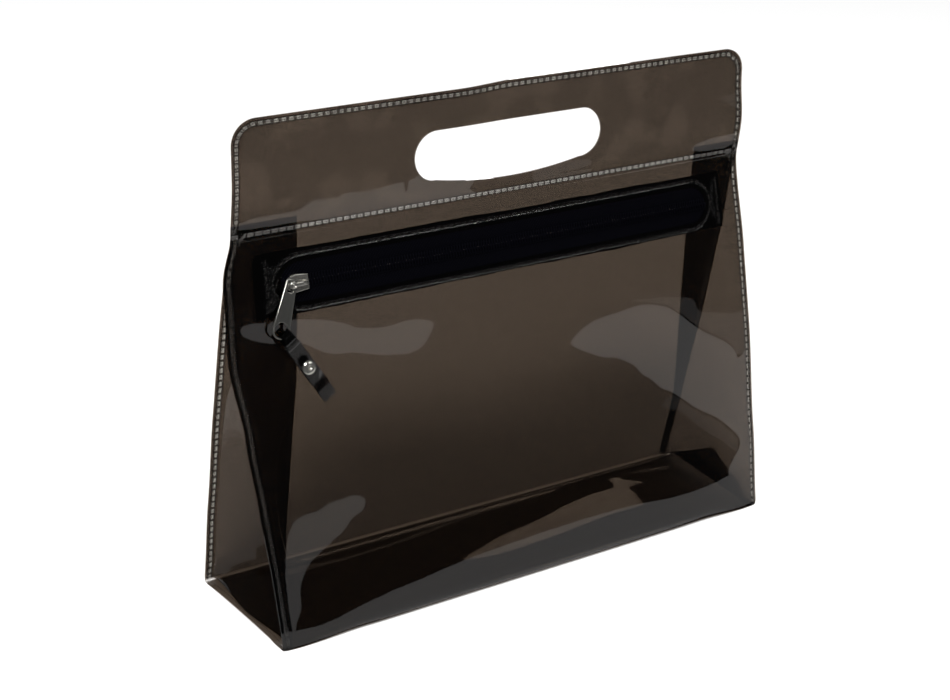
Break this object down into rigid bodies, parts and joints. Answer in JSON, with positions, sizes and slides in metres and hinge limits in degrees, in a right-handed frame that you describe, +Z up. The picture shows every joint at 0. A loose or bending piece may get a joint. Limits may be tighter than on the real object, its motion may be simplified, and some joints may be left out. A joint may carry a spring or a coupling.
{
  "type": "makeup bag",
  "caption": "Tinted clear PVC makeup bag with a cut-out handle, tucked side gussets and a zip across the front with a metal pull and riveted strap.",
  "frame": {"origin": "middle of the base, on the floor", "axes": "+X to the right along the width as seen from the front, -Y out of the front wall with the zip, +Z up"},
  "size_m": [0.27, 0.073, 0.2245],
  "materials": {
    "tinted_film": "glossy clear smoke-tinted film",
    "strap_film": "glossy smoke-tinted strip",
    "zip_tape": "woven twill",
    "zip_coil": "satin nylon",
    "nickel": "polished nickel plate",
    "sewing_thread": "twisted nylon thread"
  },
  "bodies": {
    "bag": {"front_panel": "tinted_film", "base_panel": "tinted_film", "back_panel": "tinted_film", "left_gusset_front": "tinted_film", "left_gusset_back": "tinted_film", "right_gusset_front": "tinted_film", "right_gusset_back": "tinted_film", "zip_tape_upper": "zip_tape", "zip_tape_lower": "zip_tape", "zip_coil_upper": "zip_coil", "zip_coil_lower": "zip_coil", "handle_edge_thread": "sewing_thread", "cross_seam_thread": "sewing_thread", "left_front_seam_thread": "sewing_thread", "left_back_seam_thread": "sewing_thread", "left_base_seam_thread": "sewing_thread", "right_front_seam_thread": "sewing_thread", "right_back_seam_thread": "sewing_thread", "right_base_seam_thread": "sewing_thread", "zip_window_thread": "sewing_thread", "left_tape_end_thread": "sewing_thread", "right_tape_end_thread": "sewing_thread"},
    "slider": {"slider_body": "nickel"},
    "pull_tab": {"pull_tab": "nickel"},
    "strap": {"pull_strap": "strap_film", "rivet_cap": "nickel", "rivet_post": "nickel"}
  },
  "joints": [
    {"name": "slider_slide", "type": "slide", "parent": "bag", "child": "slider", "axis": [1, 0, 0], "range_m": [0, 0.215]},
    {"name": "tab_swivel", "type": "hinge", "parent": "slider", "child": "pull_tab", "pos_m": [-0.11435, -0.00886, 0.15338], "axis": [0, -0.98, 0.1988], "range_deg": [-60, 55]},
    {"name": "strap_swing", "type": "hinge", "parent": "pull_tab", "child": "strap", "pos_m": [-0.1194, -0.01303, 0.13279], "axis": [-0.8387, -0.1083, -0.5338], "range_deg": [0, 110]}
  ]
}
